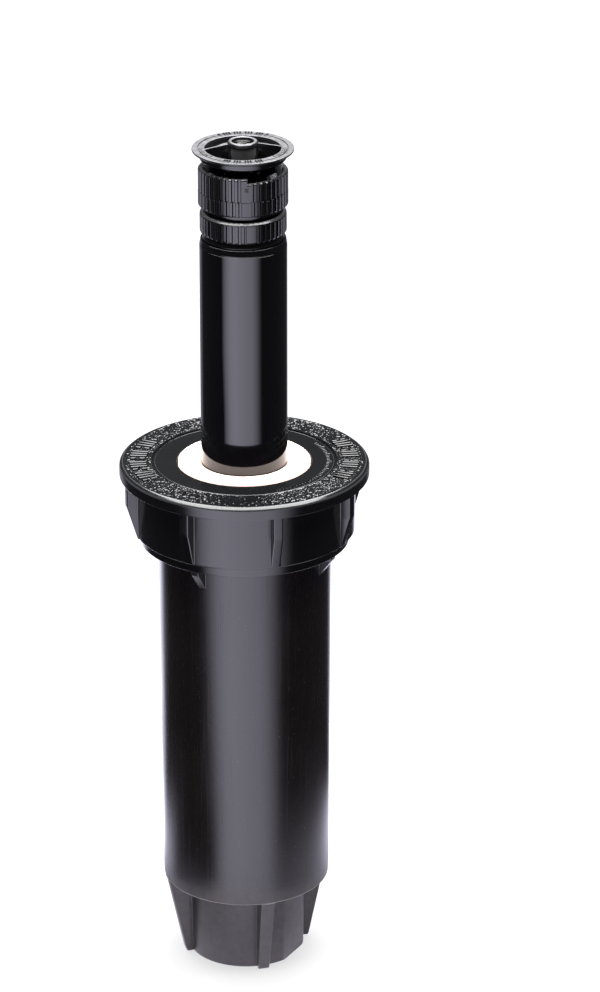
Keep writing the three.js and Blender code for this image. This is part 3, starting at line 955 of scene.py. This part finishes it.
def upper_collar():
    foot, top = low("arc_collar"), high("arc_collar")
    part = foot + 4.0
    crest = 10.1
    rise = 1.15  # of the upper edge, over one turn
    pad_half = 0.106

    def outline(depth, lower):
        low_depth = depth if lower else 0
        up_depth = 0 if lower else depth
        return rounded([
            (8.5, foot, 0.1),
            (9.5, foot, 0.08),
            (9.5, foot + 0.4, 0.08),
            (crest + 0.03 - low_depth, foot + 0.75, 0.12),
            (crest + 0.03 - low_depth, part - 0.05, 0.05),
            (crest - 0.12 - depth, part, 0.03),
            (crest - up_depth, part + 0.05, 0.05),
            (crest - up_depth, top - 0.4, 0.14),
            (9.75, top, 0.12),
            (9.0, top, 0.12),
            (8.9, 190.6, 0.3),
            (8.3, 190.1, 0.2),
            (6.0, 190.1, 0.15),
            (6.0, 188.9, 0.15),
            (8.5, 188.9, 0.15),
        ])

    base = outline(0, True)
    to_ribs = morph(base, [
        (outline(KNURL_DEPTH, True), lambda a: groove(a, LOWER_PHASE, COLLAR_PAD, pad_half)),
        (outline(KNURL_DEPTH, False), lambda a: groove(a, 0, COLLAR_PAD, pad_half)),
    ])

    def shape(r, z, angle):
        r, z = to_ribs(r, z, angle)
        turn = (angle - COLLAR_STEP) % TAU / TAU
        share = np.clip((z - part - 0.4) / (top - 0.8 - part), 0, 1)
        return r, z - rise * (1 - turn) * share * (r > 8.7)

    angles = knurl_angles([0, LOWER_PHASE], [COLLAR_STEP - 0.0005, COLLAR_STEP + 0.0005])
    collar = turned("upper_collar", base, angles, shape)
    tooth = [(8.85, 190.3), (8.85, 194.8), (8.4, 194.75), (7.5, 194.15), (7.5, 190.3)]
    teeth = [plate("tooth", tooth, 2.1, COLLAR_STEP - 0.09 + a, 0.2) for a in even(VALVE_TEETH)]
    # The valve teeth are painted pale: painted light standing in for their lit faces.
    finish(grouped("valve_teeth", teeth), LIT_TOOTH, "nozzle_plastic", "arc_control")
    finish(collar, COLLAR, "nozzle_plastic", "arc_control", "arc_collar")


def nozzle_neck():
    neck = turned("nozzle_neck", rounded([
        (6.6, 170, 0.1),
        (7.5, 170, 0.1),
        (7.5, 171.8, 0.1),
        (8.1, 171.8, 0.1),
        (8.1, 178.2, 0.1),
        (9.25, 178.2, 0.15),
        (8.85, 179.3, 0.12),
        (8.4, 179.3, 0.1),
        (8.4, 184.2, 0.1),
        (6.9, 184.2, 0.1),
        (6.9, 182.9, 0.15),
        (1.2, 182.9, 0.1),
        (1.2, 181.5, 0.1),
        (6.6, 181.5, 0.15),
    ]), even(160))
    finish(neck, NOZZLE, "nozzle_plastic", "riser", "nozzle_base")


def valve_seat():
    seat = turned("valve_seat", rounded([
        (5, 183.1, 0.1),
        (6.7, 183.1, 0.1),
        (6.7, 184.4, 0.1),
        (8.2, 184.4, 0.14),
        (8.2, 187.6, 0.15),
        (5.4, 188.4, 0.15),
        (5, 188.4, 0.1),
    ]), even(160))
    finish(seat, NOZZLE, "nozzle_plastic", "riser", "arc_valve_seat")


def spray_head():
    foot, rim, hub_top = low("deflector"), reach("deflector"), high("deflector")
    outline = rounded([
        (2.4, foot, 0.1),
        (3.35, foot, 0.2),
        (5.6, 194.6, 0.3),
        (6.4, 196.15, 0.4),
        (9.3, 196.65, 0.15),
        (9.8, 196.95, 0.15),
        (9.8, 198.0, 0.12),
        (10.5, 198.2, 0.2),
        (rim - 0.12, RIM_TOP - 0.5, 0.1),
        (rim, RIM_TOP - 0.35, 0.07),
        (rim, RIM_TOP - 0.08, 0.06),
        (rim - 0.1, RIM_TOP, 0.05),
        (10.2, RIM_TOP, 0.05),
        (10.12, RIM_TOP - 0.2, 0.04),
        (9.95, RIM_TOP - 0.2, 0.04),
        (9.87, RIM_TOP, 0.05),
        (8.6, RIM_TOP, 0.15),
        (8.4, 198.7, 0.2),
        (8.0, 197.7, 0.3),
        (6.1, 196.9, 0.5),
        (4.8, 195.6, 0.4),
        (4.4, 194.95, 0.15),
        (3.45, 194.95, 0.15),
        (3.45, hub_top - 0.5, 0.3),
        (3.0, hub_top, 0.3),
        (2.45, hub_top - 0.15, 0.2),
        (2.36, hub_top - 0.7, 0.15),
    ])

    def shape(r, z, angle):
        across = np.abs((angle * VANES / TAU) % 1 - 0.5) * 2
        vane = smooth((across - 0.72) / 0.12)
        lower = smooth((z - foot - 0.6) / 0.8) * smooth((196.2 - z) / 0.5)
        outside = (r > 3.0 + (z - foot) * 0.6) & (z < 196.25)
        return r + vane * lower * outside * 0.9, z

    bowl = turned("spray_head", outline, even(384), shape)
    spoke = [
        (3.2, 196.0), (5.6, 196.0), (8.0, 197.5), (8.75, 198.4), (8.75, RIM_TOP), (3.2, 200.15),
    ]
    spokes = [plate(f"spoke_{i}", spoke, 0.55, a, 0.1) for i, a in enumerate(SPOKES)]
    finish(combined(bowl, spokes), NOZZLE, "nozzle_plastic", "deflector", "deflector")


def spray_marks():
    """Generic ticks on the rim's face, and a small pointer on the collar's smooth pad."""
    wide, narrow = (9.2, 10.9), (9.0, 9.75)
    ticks = []
    for centre, count, (inner, outer) in (
        (74, 9, wide), (-106, 7, wide), (-40, 5, narrow), (-172, 5, narrow)
    ):
        for k in range(-count, count + 1):
            if k % 4:
                azimuth = math.radians(centre + k * 3.5)
                ticks.append(bar("tick", inner, outer, azimuth, 0.42, RIM_TOP - 0.05, 0.22))
    finish(grouped("spray_marks", ticks), GLOSS, "nozzle_plastic", "deflector")
    outline = [(9.9, 192), (10.2, 192), (10.2, 193), (9.9, 193)]
    pointer = plate("pointer", outline, 0.8, COLLAR_PAD, 0.1)
    finish(pointer, RUBBER, "nozzle_plastic", "arc_control")


def screw_head():
    foot, top = low("shaft_screw"), high("shaft_screw")
    head = turned("screw_head", rounded([
        (0, foot),
        (1.5, foot, 0.1),
        (2.1, foot + 0.5, 0.15),
        (2.1, top - 0.35, 0.2),
        (1.6, top, 0.25),
        (0, top),
    ]), even(64))
    cut = [(-3, top - 0.6), (3, top - 0.6), (3, top + 1), (-3, top + 1)]
    slot = plate("screw_slot", cut, thickness=0.55, azimuth=0.5, bevel=0)
    head = combined(head, [slot], "DIFFERENCE")
    finish(head, STEEL, "spring_steel", "shaft", "shaft_screw")


# ---------------------------------------------------------------- inner pieces


def main_spring():
    foot, top = low("retraction_spring"), high("retraction_spring")
    spring = coil("main_spring", radius=13, wire=0.65, bottom=foot, top=top, turns=8)
    finish(spring, STEEL, "spring_steel", None, "retraction_spring")
    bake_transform(spring)


INNER_FINISH = {
    "cap_gasket": (RUBBER, "black_rubber"),
    "spring_washer": (GREY, "grey_plastic"),
    "ratchet_guide": (GREY, "grey_plastic"),
    "check_valve_seal": (RUBBER, "black_rubber"),
    "check_valve_retainer": (GREY, "grey_plastic"),
    "filter_screen": (SCREEN, "screen_plastic"),
    "nozzle_gasket": (RUBBER, "black_rubber"),
    "throttle_ring": (GREY, "grey_plastic"),
    "brake_drum": (GREY, "grey_plastic"),
    "brake_rotor": (NOZZLE, "nozzle_plastic"),
    "deflector_shaft": (STEEL, "spring_steel"),
    "shaft_retainer": (GREY, "grey_plastic"),
    "return_spring": (STEEL, "spring_steel"),
}


def inner_nodes():
    """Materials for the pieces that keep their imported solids."""
    for name, (material, slot) in INNER_FINISH.items():
        node = frame["nodes"][name]
        node.data.materials.clear()
        node.data.materials.append(material)
        shade(node, 40)


# ---------------------------------------------------------------- studio

FLOOR_SEEN = 0.62  # what the camera sees of the floor, besides its shadows
PANEL_GLOW, BEHIND_GLOW, BESIDE_GLOW, FOOT_GLOW, REST_GLOW = 4.2, 2.6, 1.7, 2.2, 0.05


def floor_glow(tree):
    """How bright reflections see the floor: a lit table round the object's foot, behind it and in
    one wide panel in front, weaker close beside it, and dark elsewhere.

    away is the distance from the axis in metres. around runs from 0 to 1 anticlockwise seen from
    above, with 0.5 towards the camera.
    """
    place = tree.in_view(tree.new("ShaderNodeTexCoord").outputs["Object"])
    x, y = tree.axis(place, "X"), tree.axis(place, "Y")
    away = tree.math("SQRT", tree.math("ADD", tree.product(x, x), tree.product(y, y)))
    side = tree.math("ARCTAN2", x, tree.product(y, -1.0))
    around = tree.math("ADD", tree.math("DIVIDE", side, TAU), 0.5)
    narrowing = tree.ramp(away, [
        (0.085, 0.048), (0.13, 0.034), (0.21, 0.019), (0.35, 0.012), (0.40, 0.0),
    ])
    left = tree.ramp(tree.math("SUBTRACT", around, narrowing), [
        (0.336, 0.0), (0.361, 0.5), (0.392, 0.87), (0.43, 1.0),
    ])
    right = tree.ramp(around, [
        (0.43, 1.0), (0.56, 0.72), (0.591, 0.45), (0.622, 0.08), (0.635, 0.0),
    ])
    panel = tree.product(left, right, PANEL_GLOW)
    back = tree.ramp(around, [
        (0.0, 1.0), (0.09, 1.0), (0.13, 0.0), (0.91, 0.0), (0.95, 1.0), (1.0, 1.0),
    ])
    reach_back = tree.ramp(away, [(0.24, 1.0), (0.30, 0.13)], "EASE")
    behind = tree.product(back, reach_back, BEHIND_GLOW)
    sides = tree.ramp(around, [
        (0.15, 1.0), (0.185, 0.9), (0.225, 0.2), (0.25, 0.0),
        (0.60, 0.0), (0.63, 0.5), (0.75, 0.7), (0.86, 1.0),
    ])
    reach_sides = tree.ramp(away, [(0.065, 1.0), (0.105, 0.0)], "EASE")
    beside = tree.product(sides, reach_sides, BESIDE_GLOW)
    foot = tree.ramp(around, [
        (0.0, 0.35), (0.2, 0.4), (0.33, 0.75), (0.42, 1.0), (0.56, 1.0), (0.64, 0.7), (0.8, 0.4),
    ])
    near = tree.ramp(tree.math("DIVIDE", away, 0.2), [(0.20, 1.0), (0.36, 0.0)], "EASE")
    mixed = tree.new("ShaderNodeMix", data_type="FLOAT")
    tree.link(near, mixed.inputs["Factor"])
    far = tree.math("ADD", tree.math("ADD", panel, behind), tree.math("ADD", beside, REST_GLOW))
    tree.link(far, mixed.inputs["A"])
    tree.link(tree.product(foot, FOOT_GLOW), mixed.inputs["B"])
    return mixed.outputs["Result"]


def floor_material():
    """A pale floor to the camera, and a lit table in dark surroundings to reflections."""
    material = bpy.data.materials.new("floor")
    material.use_nodes = True
    material.node_tree.nodes.clear()
    tree = Tree(material.node_tree)
    glow = tree.new("ShaderNodeEmission")
    glow.inputs["Color"].default_value = (0.96, 0.94, 1.13, 1)
    tree.link(floor_glow(tree), glow.inputs["Strength"])
    matt = tree.new("ShaderNodeBsdfDiffuse")
    matt.inputs["Color"].default_value = (0.16, 0.16, 0.162, 1)
    pale = tree.new("ShaderNodeEmission")
    pale.inputs["Color"].default_value = (0.99, 0.99, 1.0, 1)
    path = tree.new("ShaderNodeLightPath")
    tree.link(tree.product(path.outputs["Is Camera Ray"], FLOOR_SEEN), pale.inputs["Strength"])
    seen = tree.new("ShaderNodeAddShader")
    tree.link(matt.outputs["BSDF"], seen.inputs[0])
    tree.link(pale.outputs["Emission"], seen.inputs[1])
    pick = tree.new("ShaderNodeMixShader")
    tree.link(path.outputs["Is Glossy Ray"], pick.inputs["Fac"])
    tree.link(seen.outputs["Shader"], pick.inputs[1])
    tree.link(glow.outputs["Emission"], pick.inputs[2])
    output = tree.new("ShaderNodeOutputMaterial")
    tree.link(pick.outputs["Shader"], output.inputs["Surface"])
    return material


def floor():
    size = 4.0
    mesh = bpy.data.meshes.new("floor")
    corners = [(-size, -size, 0), (size, -size, 0), (size, size, 0), (-size, size, 0)]
    mesh.from_pydata(corners, [], [(0, 1, 2, 3)])
    obj = placed("floor", mesh)
    mesh.materials.append(floor_material())


def world():
    """Pale to the camera. Reflections see a dim backdrop behind the object and dark elsewhere."""
    made = bpy.data.worlds.new("studio")
    bpy.context.scene.world = made
    made.use_nodes = True
    made.node_tree.nodes.clear()
    tree = Tree(made.node_tree)
    direction = tree.in_view(tree.new("ShaderNodeTexCoord").outputs["Generated"])
    backward = tree.math("ADD", tree.product(tree.axis(direction, "Y"), 0.5), 0.5)
    level = tree.ramp(backward, [(0.0, 0.04), (0.62, 0.05), (0.86, 0.075), (1.0, 0.08)], "EASE")
    glow = tree.new("ShaderNodeBackground")
    tree.link(level, glow.inputs["Color"])
    plain = tree.new("ShaderNodeBackground")
    plain.inputs["Color"].default_value = (0.93, 0.93, 0.94, 1)
    path = tree.new("ShaderNodeLightPath")
    pick = tree.new("ShaderNodeMixShader")
    tree.link(path.outputs["Is Camera Ray"], pick.inputs["Fac"])
    tree.link(glow.outputs["Background"], pick.inputs[1])
    tree.link(plain.outputs["Background"], pick.inputs[2])
    output = tree.new("ShaderNodeOutputWorld")
    tree.link(pick.outputs["Shader"], output.inputs["Surface"])


def in_view_frame(right, away, up):
    """A point in the shared frame, in metres, from where it lies as seen from the camera."""
    return Matrix.Rotation(-VIEW_TURN, 3, "Z") @ Vector((right, away, up))


def softbox(name, place, target, size, power):
    data = bpy.data.lights.new(name, "AREA")
    data.shape = "RECTANGLE"
    data.size, data.size_y = size
    data.energy = power
    lamp = placed(name, data)
    lamp.location = in_view_frame(*place)
    aim = in_view_frame(*target) - lamp.location
    lamp.rotation_euler = aim.to_track_quat("-Z", "Y").to_euler()
    lamp.visible_camera = False


LENS = 177.23
SENSOR = 36
CAMERA_PLACE = (0, -1.030, 0.55233)
CAMERA_DOWN = 23.012  # degrees below level
CAMERA_RIGHT = 0.707  # degrees to the right of the axis


def camera():
    data = bpy.data.cameras.new("camera")
    data.sensor_width = SENSOR
    data.lens = LENS
    data.clip_start = 0.05
    obj = placed("camera", data)
    obj.location = in_view_frame(*CAMERA_PLACE)
    pitch, yaw = math.radians(90 - CAMERA_DOWN), math.radians(-CAMERA_RIGHT)
    obj.rotation_euler = (pitch, 0, yaw - VIEW_TURN)
    bpy.context.scene.camera = obj


camera()
case_shell()
cap_shell()
cap_marks()
wiper()
stem()
nozzle_neck()
lower_ring()
valve_seat()
upper_collar()
spray_head()
spray_marks()
screw_head()
main_spring()
inner_nodes()
floor()
world()
softbox("overhead", (0, 0.17, 0.85), (0, 0.17, 0.1), (1.05, 1.0), 50)
bpy.context.scene.view_settings.view_transform = "Standard"
